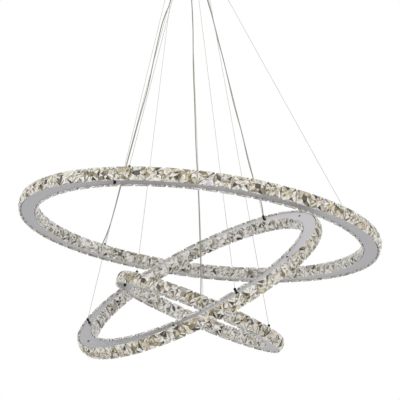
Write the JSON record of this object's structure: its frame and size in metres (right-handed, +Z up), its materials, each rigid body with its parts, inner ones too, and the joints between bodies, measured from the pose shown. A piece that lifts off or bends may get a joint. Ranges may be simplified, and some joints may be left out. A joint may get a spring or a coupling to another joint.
{
  "type": "tiered crystal chandelier",
  "caption": "Chandelier of nested tilted rings edged with facet-cut crystals, each hung on thin wires and a supply cable from a round ceiling canopy with adjustable wire grippers.",
  "frame": {"origin": "on the ceiling face, in the middle of the mounting bar", "axes": "+Z up towards the ceiling, +X along the mounting bar, +Y away from the viewer of the picture"},
  "size_m": [0.7988, 0.7762, 0.8863],
  "materials": {
    "plate": "satin, pale grey with a faint violet cast",
    "channel": "plain, mill finish",
    "led_strip": "white strip with pale yellow light cells",
    "diffuser": "frosted white",
    "crystal": "clear, facet cut, polished",
    "bright_metal": "polished",
    "dark_metal": "blackened",
    "steel_wire": "thin stranded wire",
    "cable_jacket": "translucent grey jacket over two fine conductors",
    "zinc_steel": "zinc plated",
    "white_plastic": "moulded",
    "circuit_board": "green board with dark blocks",
    "brass_screw": "plain",
    "spring_steel": "spring wire",
    "clear_nylon": "translucent moulding"
  },
  "bodies": {
    "canopy": {"mounting_bar": "zinc_steel", "canopy_cover": "bright_metal", "canopy_studs": "zinc_steel", "cap_nuts": "bright_metal", "driver_cases": "white_plastic", "driver_boards": "circuit_board", "driver_lids": "white_plastic", "terminal_block": "white_plastic", "terminal_screws": "zinc_steel", "earth_screw": "brass_screw", "gripper_bodies": "bright_metal", "gripper_nuts": "bright_metal", "gripper_springs": "spring_steel", "cord_grips": "clear_nylon", "grip_nuts": "clear_nylon", "wires_large": "steel_wire", "cable_large": "cable_jacket", "wires_medium": "steel_wire", "cable_medium": "cable_jacket", "wires_small": "steel_wire", "cable_small": "cable_jacket"},
    "large_ring": {"top_plate_large": "plate", "bottom_plate_large": "plate", "core_channel_large": "channel", "led_strips_large": "led_strip", "diffusers_large": "diffuser", "crystals_outer_large": "crystal", "crystals_inner_large": "crystal", "hanger_studs_large": "dark_metal", "cable_gland_large": "dark_metal", "plate_screws_large": "dark_metal"},
    "medium_ring": {"top_plate_medium": "plate", "bottom_plate_medium": "plate", "core_channel_medium": "channel", "led_strips_medium": "led_strip", "diffusers_medium": "diffuser", "crystals_outer_medium": "crystal", "crystals_inner_medium": "crystal", "hanger_studs_medium": "dark_metal", "cable_gland_medium": "dark_metal", "plate_screws_medium": "dark_metal"},
    "small_ring": {"top_plate_small": "plate", "bottom_plate_small": "plate", "core_channel_small": "channel", "led_strips_small": "led_strip", "diffusers_small": "diffuser", "crystals_outer_small": "crystal", "crystals_inner_small": "crystal", "hanger_studs_small": "dark_metal", "cable_gland_small": "dark_metal", "plate_screws_small": "dark_metal"},
    "release_nose_large_1": {"release_nose_large_1": "bright_metal"},
    "release_nose_large_2": {"release_nose_large_2": "bright_metal"},
    "release_nose_large_3": {"release_nose_large_3": "bright_metal"},
    "release_nose_medium_1": {"release_nose_medium_1": "bright_metal"},
    "release_nose_medium_2": {"release_nose_medium_2": "bright_metal"},
    "release_nose_medium_3": {"release_nose_medium_3": "bright_metal"},
    "release_nose_small_1": {"release_nose_small_1": "bright_metal"},
    "release_nose_small_2": {"release_nose_small_2": "bright_metal"},
    "release_nose_small_3": {"release_nose_small_3": "bright_metal"}
  },
  "joints": [
    {"name": "large_ring_height", "type": "slide", "parent": "canopy", "child": "large_ring", "axis": [0, 0, 1], "range_m": [0, 0.3], "deforming": ["wires_large", "cable_large"]},
    {"name": "medium_ring_height", "type": "slide", "parent": "canopy", "child": "medium_ring", "axis": [0, 0, 1], "range_m": [0, 0.3], "deforming": ["wires_medium", "cable_medium"]},
    {"name": "small_ring_height", "type": "slide", "parent": "canopy", "child": "small_ring", "axis": [0, 0, 1], "range_m": [0, 0.3], "deforming": ["wires_small", "cable_small"]},
    {"name": "large_release_1", "type": "slide", "parent": "canopy", "child": "release_nose_large_1", "axis": [0, 0, 1], "range_m": [0, 0.002], "stiffness_N_per_m": 500, "springref_m": -0.004},
    {"name": "large_release_2", "type": "slide", "parent": "canopy", "child": "release_nose_large_2", "axis": [0, 0, 1], "range_m": [0, 0.002], "stiffness_N_per_m": 500, "springref_m": -0.004},
    {"name": "large_release_3", "type": "slide", "parent": "canopy", "child": "release_nose_large_3", "axis": [0, 0, 1], "range_m": [0, 0.002], "stiffness_N_per_m": 500, "springref_m": -0.004},
    {"name": "medium_release_1", "type": "slide", "parent": "canopy", "child": "release_nose_medium_1", "axis": [0, 0, 1], "range_m": [0, 0.002], "stiffness_N_per_m": 500, "springref_m": -0.004},
    {"name": "medium_release_2", "type": "slide", "parent": "canopy", "child": "release_nose_medium_2", "axis": [0, 0, 1], "range_m": [0, 0.002], "stiffness_N_per_m": 500, "springref_m": -0.004},
    {"name": "medium_release_3", "type": "slide", "parent": "canopy", "child": "release_nose_medium_3", "axis": [0, 0, 1], "range_m": [0, 0.002], "stiffness_N_per_m": 500, "springref_m": -0.004},
    {"name": "small_release_1", "type": "slide", "parent": "canopy", "child": "release_nose_small_1", "axis": [0, 0, 1], "range_m": [0, 0.002], "stiffness_N_per_m": 500, "springref_m": -0.004},
    {"name": "small_release_2", "type": "slide", "parent": "canopy", "child": "release_nose_small_2", "axis": [0, 0, 1], "range_m": [0, 0.002], "stiffness_N_per_m": 500, "springref_m": -0.004},
    {"name": "small_release_3", "type": "slide", "parent": "canopy", "child": "release_nose_small_3", "axis": [0, 0, 1], "range_m": [0, 0.002], "stiffness_N_per_m": 500, "springref_m": -0.004}
  ]
}
